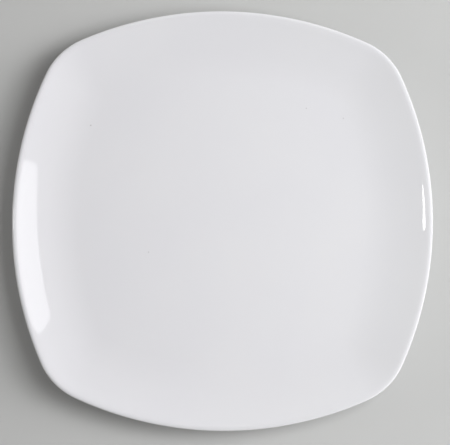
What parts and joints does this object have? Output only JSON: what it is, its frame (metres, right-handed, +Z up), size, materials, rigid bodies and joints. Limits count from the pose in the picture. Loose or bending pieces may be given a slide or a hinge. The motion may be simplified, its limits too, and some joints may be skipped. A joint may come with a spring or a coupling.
{
  "type": "square coupe salad plate",
  "caption": "Rounded-square coupe salad plate in white glazed porcelain, with bowed sides, a flat well, a wall curving up to a round lip, and a low foot ring.",
  "frame": {"origin": "middle of the plane that the foot ring rests on", "axes": "+Z up out of the dish, +X and +Y through the middles of two neighbouring sides; the picture is seen from above with +Y towards its top"},
  "size_m": [0.21, 0.21, 0.0169],
  "materials": {
    "porcelain": "unglazed, ground matt on the foot's resting face",
    "glaze": "clear gloss over white"
  },
  "bodies": {
    "root": {"porcelain_body": "porcelain", "face_glaze": "glaze", "base_glaze": "glaze"}
  },
  "joints": []
}
